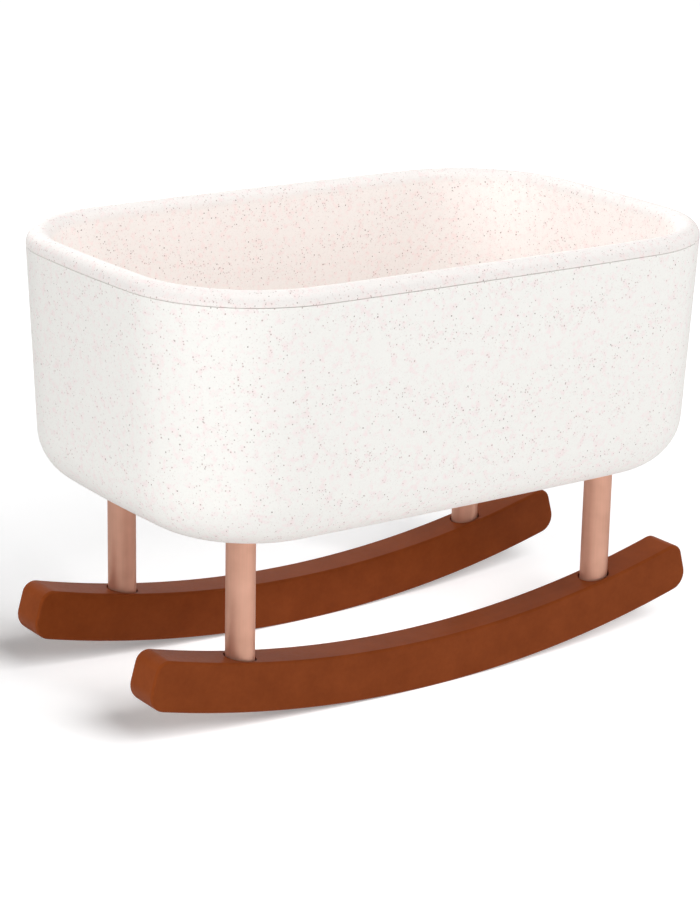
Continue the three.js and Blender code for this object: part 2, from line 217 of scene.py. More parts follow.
def soften_edges(piece, width, segments):
    """Rounds every sharp edge of a piece a little."""
    settings = {"limit_method": "ANGLE", "angle_limit": SHARP_ANGLE}
    apply_modifier(piece, "BEVEL", width=width, segments=segments, **settings)


def round_turn(piece, wanted, offset, segments):
    """Rounds the edges of an open piece that a rule picks."""
    count = choose(piece, "EDGE", wanted)
    bpy.ops.mesh.bevel(
        affect="EDGES", offset=offset, segments=segments, profile=0.5, clamp_overlap=False
    )
    print(f"{piece.name}: rounded {count} edges by {offset / MM:.1f} mm")


def round_edges_at(piece, height):
    """Takes the sharpness off the rim edges at a height."""
    open_piece(piece)
    count = choose(piece, "EDGE", lambda edge: is_turn_at(edge, height))
    bpy.ops.mesh.bevel(affect="EDGES", offset=CRISP_ROUND, segments=2, profile=0.5)
    close_piece()
    print(f"{piece.name}: rounded {count} rim edges")


def fillet_offset(radius, turn):
    """How far from an edge a fillet begins, for faces that turn by that angle."""
    return radius * math.tan(turn / 2)


def post(x, y, low, high, radius, sides=BOSS_SIDES):
    """An upright cylinder, used as a drill or as a boss."""
    bpy.ops.object.select_all(action="DESELECT")
    middle = (x, y, (low + high) / 2)
    bpy.ops.mesh.primitive_cylinder_add(
        vertices=sides, radius=radius, depth=high - low, location=middle
    )
    return new_piece("post")


def finish_shading(piece):
    """Smooth shading that breaks at real edges and keeps large flats flat."""
    pick(piece)
    bpy.ops.object.shade_smooth_by_angle(angle=SMOOTH_ANGLE)
    apply_modifier(piece, "WEIGHTED_NORMAL", mode="FACE_AREA", keep_sharp=True)


# %% [markdown]
# ## The tub's plan
# Both skins of the tub share one plan. Its sides stand out a little in the middle, as moulded
# sides do to stay stiff, and they run into large round corners. Bevelled corners would leave the
# sides straight, so the outline is drawn as a pen would: a plane is merged to a point, and the
# point is spun about the centres of three arcs. That is a quarter of the plan, and Mirror makes
# the rest. Spin turns clockwise for a positive angle, so the angles are negative here.


# %% Where the three arcs have their centres
SHORT_SIDE_STEPS = 6
CORNER_STEPS = 28
LONG_SIDE_STEPS = 10


def bow_radius(half, bow):
    """The radius of a side that stands out by its bow in the middle."""
    return (half**2 + bow**2) / (2 * bow)


def plan_arcs():
    """Centre, turn and steps of each arc, from the tub's end round to its long side."""
    short_radius = bow_radius(TUB_WIDTH / 2 - PLAN_CORNER, SHORT_SIDE_BOW)
    long_radius = bow_radius(TUB_LENGTH / 2 - PLAN_CORNER, LONG_SIDE_BOW)
    short = Vector((TUB_LENGTH / 2 - short_radius, 0))
    long = Vector((0, TUB_WIDTH / 2 - long_radius))
    crossings = intersect_sphere_sphere_2d(
        short, short_radius - PLAN_CORNER, long, long_radius - PLAN_CORNER
    )
    corner = max(crossings, key=lambda point: point.x + point.y)
    short_end = math.atan2(corner.y, corner.x - short.x)
    long_end = math.atan2(corner.y - long.y, corner.x)
    return [
        (short, short_end, SHORT_SIDE_STEPS),
        (corner, long_end - short_end, CORNER_STEPS),
        (long, math.pi / 2 - long_end, LONG_SIDE_STEPS),
    ]


for centre, turn, steps in plan_arcs():
    print(f"arc about {centre.x:.4f}, {centre.y:.4f}: {math.degrees(turn):.2f} degrees")


# %% A flat face with the tub's plan
def tub_plan(name, height):
    """Starts a piece from the plan's face, and leaves it open with that face selected."""
    bpy.ops.object.select_all(action="DESELECT")
    bpy.ops.mesh.primitive_plane_add(size=MM, location=(TUB_LENGTH / 2, 0, height))
    plan = new_piece(name)
    open_piece(plan)
    choose(plan, "VERT", lambda vert: True)
    bpy.ops.mesh.merge(type="CENTER")
    for centre, turn, steps in plan_arcs():
        bpy.ops.mesh.spin(
            steps=steps,
            angle=-turn,
            center=(centre.x, centre.y, height),
            axis=(0, 0, 1),
            dupli=False,
            use_normal_flip=False,
        )
    close_piece()
    apply_modifier(plan, "MIRROR", use_axis=(True, True, False), merge_threshold=NEAR_ENOUGH)
    open_piece(plan)
    bpy.ops.mesh.select_all(action="SELECT")
    bpy.ops.mesh.edge_face_add()
    if choose(plan, "FACE", lambda face: face.normal.z < 0):
        bpy.ops.mesh.flip_normals()
    choose(plan, "FACE", lambda face: True)
    return plan


# %% [markdown]
# ## Outer shell
# The shell is moulded over a core that pulls out upwards, so its wall leans inwards a little on
# the way down. An inset does that in one move: the plan's face shrinks by the draft and drops by
# the height, and leaves the leaning wall behind. The edge around the bottom is then bevelled to
# its large fillet, and Solidify gives the wall its thickness inwards.


# %% Shape the outer shell
def make_outer_shell():
    height = SEAM - UNDERSIDE
    shell = tub_plan("tub_outer_shell", SEAM)
    bpy.ops.mesh.inset(thickness=WALL_DRAFT * height, depth=-height)
    bottom_offset = fillet_offset(BOTTOM_FILLET, WALL_TURN)
    round_turn(shell, lambda edge: at_height(edge, UNDERSIDE), bottom_offset, 16)
    bpy.ops.mesh.select_all(action="SELECT")
    bpy.ops.mesh.flip_normals()
    close_piece()
    thicken(shell, SHELL_WALL)
    round_edges_at(shell, SEAM)
    return shell


outer_shell = make_outer_shell()
print("outer shell faces:", len(outer_shell.data.polygons))

# %% [markdown]
# The legs plug into round sockets under the shell, and four screws that hold the inner tub go in
# through small recesses. Bosses are joined on first and then drilled, so the hole goes through
# both the boss and the shell's floor.

# %% Bosses and holes under the tub
SOCKET_DEPTH = leg_high.z + SEAM_GAP - UNDERSIDE
SHANK_HOLE = 1.7 * MM
HEAD_RECESS = 3.3 * MM
RECESS_DEPTH = 2.7 * MM
POST_RADIUS = HEAD_RECESS + SOCKET_WALL
OVERCUT = 4 * MM

tub_screw_low, tub_screw_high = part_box("front_right_tub_screw")
TUB_SCREW_X = (tub_screw_low.x + tub_screw_high.x) / 2
TUB_SCREW_Y = -(tub_screw_low.y + tub_screw_high.y) / 2
CORNERS = {
    "front_left": (-1, -1),
    "front_right": (1, -1),
    "rear_left": (-1, 1),
    "rear_right": (1, 1),
}


def drill_shell(shell):
    floor_middle = UNDERSIDE + SHELL_WALL / 2
    socket_top = UNDERSIDE + SOCKET_DEPTH
    boss_top = socket_top + SOCKET_WALL
    post_top = UNDERSIDE + RECESS_DEPTH + SOCKET_WALL
    below = UNDERSIDE - OVERCUT
    socket = LEG_RADIUS + SOCKET_CLEARANCE
    for side_x, side_y in CORNERS.values():
        x, y = side_x * LEG_X, side_y * LEG_Y
        cut(shell, post(x, y, floor_middle, boss_top, socket + SOCKET_WALL), "UNION")
        cut(shell, post(x, y, below, socket_top, socket, HIDDEN_SOCKET_SIDES))
        cut(shell, post(x, y, below, boss_top + OVERCUT, SHANK_HOLE, HOLE_SIDES))
        x, y = side_x * TUB_SCREW_X, side_y * TUB_SCREW_Y
        cut(shell, post(x, y, floor_middle, post_top, POST_RADIUS), "UNION")
        cut(shell, post(x, y, below, UNDERSIDE + RECESS_DEPTH, HEAD_RECESS, RECESS_SIDES))
        cut(shell, post(x, y, below, post_top + OVERCUT, SHANK_HOLE, HOLE_SIDES))


drill_shell(outer_shell)
finish_shading(outer_shell)
print("outer shell faces after drilling:", len(outer_shell.data.polygons))

# %% [markdown]
# ## Inner tub and lip
# The inner tub is one skin from the tongue that hides inside the shell, up over the rolled lip
# and down to the floor. It is made the same way, as a chain of insets and one extrude on the
# plan's face, and every turn is then rounded with its own radius.

# %% Shape the inner tub
TUB_FLOOR = frame_mount("bedding_rest").z


def make_inner_tub():
    skirt = SEAM + SEAM_GAP
    tub = tub_plan("tub_inner_lip", skirt)
    bpy.ops.mesh.extrude_region_move(TRANSFORM_OT_translate={"value": (0, 0, RIM_TOP - skirt)})
    bpy.ops.mesh.inset(thickness=LIP_WIDTH)
    depth = RIM_TOP - TUB_FLOOR
    bpy.ops.mesh.inset(thickness=WALL_DRAFT * depth, depth=-depth)
    choose(tub, "FACE", lambda face: at_height(face, skirt))
    bpy.ops.mesh.inset(thickness=SHELL_WALL + SEAM_GAP + WALL_DRAFT * TONGUE_DEPTH)
    bpy.ops.mesh.extrude_region_move(
        TRANSFORM_OT_translate={"value": (0, 0, -SEAM_GAP - TONGUE_DEPTH)}
    )
    bpy.ops.mesh.delete(type="ONLY_FACE")
    round_turn(tub, lambda edge: is_turn_at(edge, RIM_TOP), LIP_WIDTH / 2 * LIP_FULLNESS, 10)
    floor_offset = fillet_offset(FLOOR_FILLET, WALL_TURN)
    round_turn(tub, lambda edge: at_height(edge, TUB_FLOOR), floor_offset, 14)
    close_piece()
    thicken(tub, LINER_WALL)
    round_edges_at(tub, skirt)
    return tub


inner_tub = make_inner_tub()
print("inner tub faces:", len(inner_tub.data.polygons))

# %% Bosses under the inner tub's floor
SCREW_SEAT = 2.6 * MM
TUB_BOSS_RADIUS = 4 * MM


def add_tub_bosses(tub):
    boss_low = tub_low.z
    boss_high = TUB_FLOOR - LINER_WALL / 2
    hole_top = tub_screw_high.z + SEAM_GAP
    for side_x, side_y in CORNERS.values():
        x, y = side_x * TUB_SCREW_X, side_y * TUB_SCREW_Y
        cut(tub, post(x, y, boss_low, boss_high, TUB_BOSS_RADIUS, RECESS_SIDES), "UNION")
        cut(tub, post(x, y, boss_low - OVERCUT, hole_top, SHANK_HOLE, HOLE_SIDES))


add_tub_bosses(inner_tub)
finish_shading(inner_tub)

# %% [markdown]
# ## Legs
# Each leg is a plain drawn tube. An open cylinder gets its wall from Solidify, and a narrow bevel
# rounds the cut ends, so that they slide into their sockets.


# %% Shape one leg and copy it to the four corners
def make_leg():
    bpy.ops.object.select_all(action="DESELECT")
    bpy.ops.mesh.primitive_cylinder_add(
        vertices=SEEN_ROUND_SIDES,
        radius=LEG_RADIUS,
        depth=leg_high.z - leg_low.z,
        end_fill_type="NOTHING",
        location=(0, 0, (leg_high.z + leg_low.z) / 2),
    )
    leg = new_piece("leg_pattern")
    thicken(leg, LEG_WALL)
    soften_edges(leg, LEG_END_ROUND, 3)
    finish_shading(leg)
    return leg


def copied(pattern, name, place):
    """A copy with a mesh of its own, moved in its mesh, so the object stays at the origin."""
    copy = bpy.data.objects.new(name, pattern.data.copy())
    copy.data.name = name
    bpy.context.scene.collection.objects.link(copy)
    copy.data.transform(Matrix.Translation(place))
    return copy


leg_pattern = make_leg()
legs = {
    corner: copied(leg_pattern, f"{corner}_leg_tube", (side_x * LEG_X, side_y * LEG_Y, 0))
    for corner, (side_x, side_y) in CORNERS.items()
}
bpy.data.objects.remove(leg_pattern, do_unlink=True)
print("legs:", list(legs))

# %% [markdown]
# ## Curved bars
# A rocker is a bar bent to an arc, so its section is spun about the arc's centre. Half of it is
# spun, from the middle to one end, and Mirror makes the other half, so that both ends match.


# %% Spin half a bar and mirror it
ARC_CENTRE = Vector((0, 0, SOLE_RADIUS))
ARC_STEPS = 48
MERGE_DISTANCE = 0.005 * MM


def half_bar(name, inner_radius, outer_radius, width, end_angle, end_step=0):
    """Half of a bar, left open for editing. The last step out to its end can be a short one."""
    bpy.ops.object.select_all(action="DESELECT")
    middle = SOLE_RADIUS - (inner_radius + outer_radius) / 2
    bpy.ops.mesh.primitive_plane_add(
        size=1, location=(0, 0, middle), rotation=(0, math.pi / 2, 0)
    )
    section = bpy.context.active_object
    section.scale = (outer_radius - inner_radius, width, 1)
    bar = new_piece(name)
    open_piece(bar)
    choose(bar, "FACE", lambda face: True)
    spin = {"center": ARC_CENTRE, "axis": (0, 1, 0), "dupli": False, "use_normal_flip": False}
    bpy.ops.mesh.spin(steps=ARC_STEPS, angle=-(end_angle - end_step), **spin)
    if end_step:
        bpy.ops.mesh.spin(steps=1, angle=-end_step, **spin)
    return bar


def mirror_bar(bar):
    """Opens the bar at its middle, mirrors it and turns its faces outwards."""
    choose(bar, "FACE", lambda face: all(abs(vert.co.x) < NEAR_ENOUGH for vert in face.verts))
    bpy.ops.mesh.delete(type="ONLY_FACE")
    close_piece()
    apply_modifier(bar, "MIRROR", use_axis=(True, False, False), merge_threshold=NEAR_ENOUGH)
    open_piece(bar)
    bpy.ops.mesh.select_all(action="SELECT")
    bpy.ops.mesh.remove_doubles(threshold=MERGE_DISTANCE)
    bpy.ops.mesh.normals_make_consistent(inside=False)
    close_piece()
    return bar


def polar_angle(vert):
    """How far round the arc a vertex is, from the middle of the bar."""
    return math.atan2(abs(vert.co.x), ARC_CENTRE.z - vert.co.z)


def arc_radius(vert):
    """How far a vertex is from the arc's centre."""
    return math.hypot(vert.co.x, ARC_CENTRE.z - vert.co.z)


def band(name, inner_radius, outer_radius, width, end_angle):
    return mirror_bar(half_bar(name, inner_radius, outer_radius, width, end_angle))


# %% [markdown]
# ## Rockers
# The two corners of each end are rounded first, the lower one more, so that the crib can tip far
# without catching. Then a small fillet runs all round both sides. Below, the rocker is open where
# the sole plate goes, and hollow. Each leg has a socket in the top.

# %% Shape the rocker's outside
CAVITY_WIDTH = ROCKER_THICKNESS - 2 * ROCKER_WALL
SOLE_END_ANGLE = END_ANGLE - SOLE_END_ROUND / SOLE_RADIUS
ROOM_FOR_ROUND = 0.4 * MM
EDGE_TOLERANCE = 0.05 * MM
FACES_SIDEWAYS = 0.9


def make_rocker_bar():
    end_step = (SOLE_END_ROUND + ROOM_FOR_ROUND) / TOP_RADIUS
    bar = half_bar(
        "rocker_pattern", TOP_RADIUS, SOLE_RADIUS, ROCKER_THICKNESS, END_ANGLE, end_step
    )

    def is_end_edge(edge, radius):
        at_end = all(polar_angle(vert) > END_ANGLE - end_step / 2 for vert in edge.verts)
        return at_end and all(
            abs(arc_radius(vert) - radius) < EDGE_TOLERANCE for vert in edge.verts
        )

    round_turn(bar, lambda edge: is_end_edge(edge, TOP_RADIUS), TOP_END_ROUND, 10)
    round_turn(bar, lambda edge: is_end_edge(edge, SOLE_RADIUS), SOLE_END_ROUND, 12)
    mirror_bar(bar)
    open_piece(bar)

    def side_edge(edge):
        """True between a flat side and the surface that runs round the bar."""
        facing = [abs(face.normal.y) > FACES_SIDEWAYS for face in edge.link_faces]
        return facing[0] != facing[1]

    round_turn(bar, side_edge, ROCKER_EDGE_ROUND, 5)
    close_piece()
    return bar


rocker_pattern = make_rocker_bar()
print("rocker faces:", len(rocker_pattern.data.polygons))

# %% Hollow the rocker and drill its sockets
sole_screw_low, sole_screw_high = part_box("front_rocker_right_sole_screw")
SOLE_SCREW_X = (sole_screw_low.x + sole_screw_high.x) / 2
SCREW_HEAD = 2.2 * MM
SOCKET_FLOOR = leg_low.z - SEAM_GAP
SOCKET_BOSS_HEIGHT = 12 * MM
SOCKET_DRILL_LENGTH = 40 * MM
SOLE_POST_TOP = sole_screw_low.z + SCREW_HEAD + SEAM_GAP + SCREW_SEAT
SOLE_BOSS_HEIGHT = 24 * MM
LEG_POST_TOP = SOCKET_FLOOR - SOCKET_WALL - SEAM_GAP
PAST_THE_SOLE = 10 * MM


def hollow_rocker(rocker):
    roof, sole = TOP_RADIUS + ROCKER_WALL, SOLE_RADIUS + PAST_THE_SOLE
    cut(rocker, band("pocket", roof, sole, CAVITY_WIDTH, SOLE_END_ANGLE))
    socket = LEG_RADIUS + SOCKET_CLEARANCE
    boss_low = SOCKET_FLOOR - SOCKET_WALL
    boss_top = SOCKET_FLOOR + SOCKET_BOSS_HEIGHT
    drill_top = SOCKET_FLOOR + SOCKET_DRILL_LENGTH
    screw_boss_low = SOLE_POST_TOP + SEAM_GAP
    screw_boss_top = screw_boss_low + SOLE_BOSS_HEIGHT
    hole_top = sole_screw_high.z + SEAM_GAP
    for side in (-1, 1):
        x = side * LEG_X
        cut(rocker, post(x, 0, boss_low, boss_top, socket + SOCKET_WALL), "UNION")
        cut(rocker, post(x, 0, SOCKET_FLOOR, drill_top, socket, SEEN_ROUND_SIDES))
        cut(rocker, post(x, 0, 0, SOCKET_FLOOR + OVERCUT, SHANK_HOLE, HOLE_SIDES))
        x = side * SOLE_SCREW_X
        screw_boss = post(x, 0, screw_boss_low, screw_boss_top, TUB_BOSS_RADIUS, RECESS_SIDES)
        cut(rocker, screw_boss, "UNION")
        cut(rocker, post(x, 0, 0, hole_top, SHANK_HOLE, HOLE_SIDES))


hollow_rocker(rocker_pattern)
finish_shading(rocker_pattern)
rockers = {
    "front": copied(rocker_pattern, "front_rocker_bar", (0, -LEG_Y, 0)),
    "rear": copied(rocker_pattern, "rear_rocker_bar", (0, LEG_Y, 0)),
}
bpy.data.objects.remove(rocker_pattern, do_unlink=True)
print("hollow rocker faces:", len(rockers["front"].data.polygons))

# %% [markdown]
# ## Sole plates
# A thin curved plate closes each rocker from below. Its posts carry the screw heads in deep
# recesses, clear of the floor.


# %% Shape the sole plate
def make_sole_plate():
    plate = band(
        "sole_pattern",
        SOLE_RADIUS - SOLE_PLATE,
        SOLE_RADIUS,
        CAVITY_WIDTH - 2 * SEAM_GAP,
        SOLE_END_ANGLE - SEAM_GAP / SOLE_RADIUS,
    )
    soften_edges(plate, CRISP_ROUND, 2)
    for x, post_top in ((LEG_X, LEG_POST_TOP), (SOLE_SCREW_X, SOLE_POST_TOP)):
        sole_here = SOLE_RADIUS - math.sqrt(SOLE_RADIUS**2 - x**2)
        for side in (-1, 1):
            base = sole_here + SOLE_PLATE / 2
            seat = post_top - SCREW_SEAT
            cut(plate, post(side * x, 0, base, post_top, POST_RADIUS, RECESS_SIDES), "UNION")
            cut(plate, post(side * x, 0, -OVERCUT, seat, HEAD_RECESS, RECESS_SIDES))
            cut(plate, post(side * x, 0, -OVERCUT, post_top + OVERCUT, SHANK_HOLE, HOLE_SIDES))
    finish_shading(plate)
    return plate


sole_pattern = make_sole_plate()
sole_plates = {
    "front": copied(sole_pattern, "front_sole_cover", (0, -LEG_Y, 0)),
    "rear": copied(sole_pattern, "rear_sole_cover", (0, LEG_Y, 0)),
}
bpy.data.objects.remove(sole_pattern, do_unlink=True)
print("sole plate faces:", len(sole_plates["front"].data.polygons))

# %% [markdown]
# ## Building materials from nodes
# Every finish is worked out by shader nodes from Object coordinates, so it needs no image and no
# UV map, and it stays on the piece from every side. These helpers add a node, set its plain
# values and wire it up. A pattern that is used several times is a node group.


# %% Helpers for shader nodes
def add_node(tree, kind, values=None, **settings):
    """Adds a node, sets its options, and fills or wires the sockets named in values."""
    node = tree.nodes.new(kind)
    for key, value in settings.items():
        setattr(node, key, value)
    for socket, value in (values or {}).items():
        if isinstance(value, bpy.types.NodeSocket):
            tree.links.new(value, node.inputs[socket])
        else:
            node.inputs[socket].default_value = value
    return node


def math_node(tree, operation, first, second):
    node = add_node(tree, "ShaderNodeMath", {0: first, 1: second}, operation=operation)
    return node.outputs[0]


def scaled(tree, vector, scale):
    """Scales coordinates. A small scale along one axis draws a pattern out along it."""
    node = add_node(tree, "ShaderNodeVectorMath", {0: vector, 1: scale}, operation="MULTIPLY")
    return node.outputs[0]


def noise(tree, vector, scale, detail, roughness=0.5):
    """Soft noise from 0 to 1. The scale is in patches per metre."""
    values = {"Vector": vector, "Scale": scale, "Detail": detail, "Roughness": roughness}
    return add_node(tree, "ShaderNodeTexNoise", values)


def remap(tree, value, low, high, new_low, new_high):
    """Stretches the range from low to high onto a new range, and holds it there."""
    values = {0: value, 1: low, 2: high, 3: new_low, 4: new_high}
    return add_node(tree, "ShaderNodeMapRange", values).outputs[0]


FACTOR_INPUT, FIRST_COLOR_INPUT, SECOND_COLOR_INPUT = 0, 6, 7
COLOR_RESULT = 2


def mixed(tree, factor, first, second, blend="MIX"):
    """Mixes two colours, each a socket or three numbers."""
    values = {FACTOR_INPUT: factor}
    for socket, color in ((FIRST_COLOR_INPUT, first), (SECOND_COLOR_INPUT, second)):
        values[socket] = color if isinstance(color, bpy.types.NodeSocket) else (*color, 1)
    node = add_node(tree, "ShaderNodeMix", values, data_type="RGBA", blend_type=blend)
    return node.outputs[COLOR_RESULT]


def add_bump(tree, shader, height, strength, distance):
    """Lets a pattern lift the surface by up to the distance, for the shading only."""
    values = {"Height": height, "Strength": strength, "Distance": distance}
    bump = add_node(tree, "ShaderNodeBump", values)
    tree.links.new(bump.outputs[0], shader.inputs["Normal"])


def new_material(name):
    """An empty material, its nodes, its Principled shader and its Object coordinates."""
    material = bpy.data.materials.new(name)
    material.use_nodes = True
    tree = material.node_tree
    shader = tree.nodes["Principled BSDF"]
    place = add_node(tree, "ShaderNodeTexCoord").outputs["Object"]
    return material, tree, shader, place


def new_group(name, inputs, outputs):
    """A node group with the named sockets, and its two end nodes."""
    tree = bpy.data.node_groups.new(name, "ShaderNodeTree")
    for socket, kind in inputs:
        tree.interface.new_socket(socket, in_out="INPUT", socket_type=kind)
    for socket, kind in outputs:
        tree.interface.new_socket(socket, in_out="OUTPUT", socket_type=kind)
    return tree, tree.nodes.new("NodeGroupInput"), tree.nodes.new("NodeGroupOutput")


FLOAT, VECTOR = "NodeSocketFloat", "NodeSocketVector"

# %% [markdown]
# ## Speckle
# The plastic is moulded with flakes mixed all through it. So the speckle is a solid pattern: space
# is divided into Voronoi cells, some cells hold a flake of random size, and a flake shows
# wherever the surface cuts it. One group makes one size of flake, and the plastic uses several.


# %% Node group: one size of flake
SMALLEST_FLAKE = 0.45
SOFT_EDGE_STARTS = 0.7


def make_flakes():
    inputs = [("Vector", VECTOR), ("Cells per Metre", FLOAT), ("Radius", FLOAT), ("Share", FLOAT)]
    tree, start, end = new_group("Flakes", inputs, [("Mask", FLOAT), ("Random", FLOAT)])
    cells = add_node(
        tree,
        "ShaderNodeTexVoronoi",
        {"Vector": start.outputs["Vector"], "Scale": start.outputs["Cells per Metre"]},
        voronoi_dimensions="3D",
        feature="F1",
    )
    chance = add_node(tree, "ShaderNodeSeparateColor", {"Color": cells.outputs["Color"]})
    size = remap(tree, chance.outputs["Red"], 0.0, 1.0, SMALLEST_FLAKE, 1.0)
    radius = math_node(tree, "MULTIPLY", size, start.outputs["Radius"])
    ratio = math_node(tree, "DIVIDE", cells.outputs["Distance"], radius)
    dot = remap(tree, ratio, SOFT_EDGE_STARTS, 1.0, 1.0, 0.0)
    present = math_node(tree, "LESS_THAN", chance.outputs["Green"], start.outputs["Share"])
    mask = math_node(tree, "MULTIPLY", dot, present)
    tree.links.new(mask, end.inputs["Mask"])
    tree.links.new(chance.outputs["Blue"], end.inputs["Random"])
    return tree


flakes_group = make_flakes()
print("node group:", flakes_group.name)


def flakes(tree, place, cell, radius, share):
    """Adds the group. The cell is in metres, the radius in cells, and a share of cells is full."""
    values = {"Vector": place, "Cells per Metre": 1 / cell, "Radius": radius, "Share": share}
    return add_node(tree, "ShaderNodeGroup", values, node_tree=flakes_group)


def sprinkled(tree, color, flake, strength, flake_color):
    """The colour with one size of flake mixed into it."""
    mask = math_node(tree, "MULTIPLY", flake.outputs["Mask"], strength)
    return mixed(tree, mask, color, flake_color)


# %% [markdown]
# ## Speckled plastic
# The base is a warm white. Flakes come in three sizes: a fine pale one, a rosy one and a sparse
# dark one. They lie in loose clusters, each with a blush of pink around it. The inner tub's batch
# is pinker and holds more flakes. Its lip is painted a little darker above the seam: painted
# shade that holds back the strong light falling on it from above.

# %% Make the speckled plastic
SHELL_WHITE = (0.94, 0.927, 0.89)
BLUSH = (0.945, 0.85, 0.835)
ROSE_FLAKE = (0.46, 0.33, 0.31)
DARK_FLAKE = (0.19, 0.115, 0.10)
PALE_FLAKE = (0.66, 0.59, 0.55)
TUB_WHITE = (0.935, 0.89, 0.86)
TUB_BLUSH = (0.945, 0.82, 0.80)
LIP_PAINTED_SHADE_TONE = (0.90, 0.91, 0.915)
LIP_PAINTED_SHADE_RISE = 4 * MM
RAGGEDNESS = 0.35 * MM
FINE_CELL, FINE_RADIUS = 1.25 * MM, 0.36
ROSY_CELL, ROSY_RADIUS = 1.7 * MM, 0.36
DARK_CELL, DARK_RADIUS = 3.2 * MM, 0.17


def make_speckled(name, white, blush, crowding):
    """Crowding of 1 is the shell's share of flakes, and more crowds them."""
    material, tree, shader, place = new_material(name)
    ragged = noise(tree, place, 1400, detail=1.0)
    offset = add_node(
        tree,
        "ShaderNodeVectorMath",
        {0: ragged.outputs["Color"], 1: (RAGGEDNESS,) * 3, 2: place},
        operation="MULTIPLY_ADD",
    )
    ragged_place = offset.outputs[0]
    clusters = noise(tree, place, 90, detail=2.0).outputs[0]
    blotch = noise(tree, place, 210, detail=2.0, roughness=0.6).outputs[0]

    color = mixed(tree, remap(tree, blotch, 0.5, 0.72, 0.0, 1.0), white, blush)
    fine_share = remap(tree, clusters, 0.35, 0.65, 0.4 * crowding, 0.95 * crowding)
    fine = flakes(tree, ragged_place, FINE_CELL, FINE_RADIUS, fine_share)
    color = sprinkled(tree, color, fine, 0.30, PALE_FLAKE)

    rosy_share = remap(tree, blotch, 0.42, 0.68, 0.08 * crowding, 0.75 * crowding)
    rosy = flakes(tree, ragged_place, ROSY_CELL, ROSY_RADIUS, rosy_share)
    rosy_strength = remap(tree, rosy.outputs["Random"], 0.0, 1.0, 0.12, 0.85)
    color = sprinkled(tree, color, rosy, rosy_strength, ROSE_FLAKE)

    dark = flakes(tree, ragged_place, DARK_CELL, DARK_RADIUS, 0.55 * crowding)
    dark_strength = remap(tree, dark.outputs["Random"], 0.0, 1.0, 0.35, 1.0)
    color = sprinkled(tree, color, dark, dark_strength, DARK_FLAKE)

    mottle = noise(tree, place, 850, detail=2.0, roughness=0.7).outputs[0]
    shade = add_node(tree, "ShaderNodeCombineColor")
    for channel in ("Red", "Green", "Blue"):
        tree.links.new(remap(tree, mottle, 0.3, 0.7, 0.965, 1.01), shade.inputs[channel])
    color = mixed(tree, 1.0, color, shade.outputs[0], "MULTIPLY")
    # Painted shade: above the seam the colour is made a little darker, to hold back the strong
    # light on top of the lip.
    height = add_node(tree, "ShaderNodeSeparateXYZ", {0: place}).outputs["Z"]
    lip_painted_shade = remap(tree, height, SEAM, SEAM + LIP_PAINTED_SHADE_RISE, 0.0, 1.0)
    color = mixed(tree, lip_painted_shade, color, mixed(tree, 1.0, color, LIP_PAINTED_SHADE_TONE, "MULTIPLY"))
    tree.links.new(color, shader.inputs["Base Color"])
    satin = remap(tree, clusters, 0.3, 0.7, 0.46, 0.56)
    tree.links.new(satin, shader.inputs["Roughness"])
    shader.inputs["Specular IOR Level"].default_value = 0.3
    grain = noise(tree, place, 2600, detail=3.0).outputs[0]
    add_bump(tree, shader, grain, 0.12, 0.05 * MM)
    return material


shell_plastic = make_speckled("speckled_shell_plastic", SHELL_WHITE, BLUSH, crowding=1.0)
tub_plastic = make_speckled("speckled_tub_plastic", TUB_WHITE, TUB_BLUSH, crowding=1.6)
print("speckled plastics:", shell_plastic.name, tub_plastic.name)

# %% [markdown]
# ## Rose metal
# The tubes are finished with fine brushing along their length, so their pattern is stretched
# along Z: it changes quickly round the tube and slowly up it.

# %% Make the rose metal
ROSE_LIGHT = (0.83, 0.475, 0.352)
ROSE_DEEP = (0.70, 0.385, 0.277)


def make_rose_metal():
    material, tree, shader, place = new_material("brushed_rose_metal")
    streaks = noise(tree, scaled(tree, place, (1.0, 1.0, 0.03)), 900, detail=3.0).outputs[0]
    cloud = noise(tree, place, 60, detail=2.0).outputs[0]
    tone = math_node(tree, "ADD", math_node(tree, "MULTIPLY", streaks, 0.6), cloud)
    shade = remap(tree, tone, 0.5, 1.1, 0.0, 1.0)
    tree.links.new(mixed(tree, shade, ROSE_DEEP, ROSE_LIGHT), shader.inputs["Base Color"])
    shader.inputs["Metallic"].default_value = 0.8
    tree.links.new(remap(tree, streaks, 0.3, 0.7, 0.48, 0.58), shader.inputs["Roughness"])
    add_bump(tree, shader, streaks, 0.15, 0.03 * MM)
    return material


rose_metal = make_rose_metal()
print("metal:", rose_metal.name)

# %% [markdown]
# ## Brown plastic
# The rockers are a solid reddish brown with a low sheen. Large faint clouds keep the colour from
# looking printed, and a shallow ripple in the surface breaks up the sheen.

# %% Make the brown plastic
BROWN_DEEP = (0.204, 0.0435, 0.0092)
BROWN_LIGHT = (0.252, 0.0565, 0.0132)


def make_brown_plastic():
    material, tree, shader, place = new_material("brown_rocker_plastic")
    cloud = noise(tree, place, 45, detail=3.0, roughness=0.6).outputs[0]
    mottle = noise(tree, place, 420, detail=2.0).outputs[0]
    tone = math_node(tree, "ADD", cloud, math_node(tree, "MULTIPLY", mottle, 0.35))
    shade = remap(tree, tone, 0.42, 0.92, 0.0, 1.0)
    tree.links.new(mixed(tree, shade, BROWN_DEEP, BROWN_LIGHT), shader.inputs["Base Color"])
    tree.links.new(remap(tree, mottle, 0.3, 0.7, 0.30, 0.38), shader.inputs["Roughness"])
    shader.inputs["Specular IOR Level"].default_value = 0.05
    ripple = noise(tree, place, 160, detail=2.0).outputs[0]
    add_bump(tree, shader, ripple, 0.10, 0.2 * MM)
    return material


brown_plastic = make_brown_plastic()
print("brown:", brown_plastic.name)

# %% [markdown]
# ## Hidden fastenings
# The plugs and screws are small and mostly out of sight. The plugs are a plain grey moulding, and
# the screws are bright zinc, with a faint cloudiness from the plating bath.


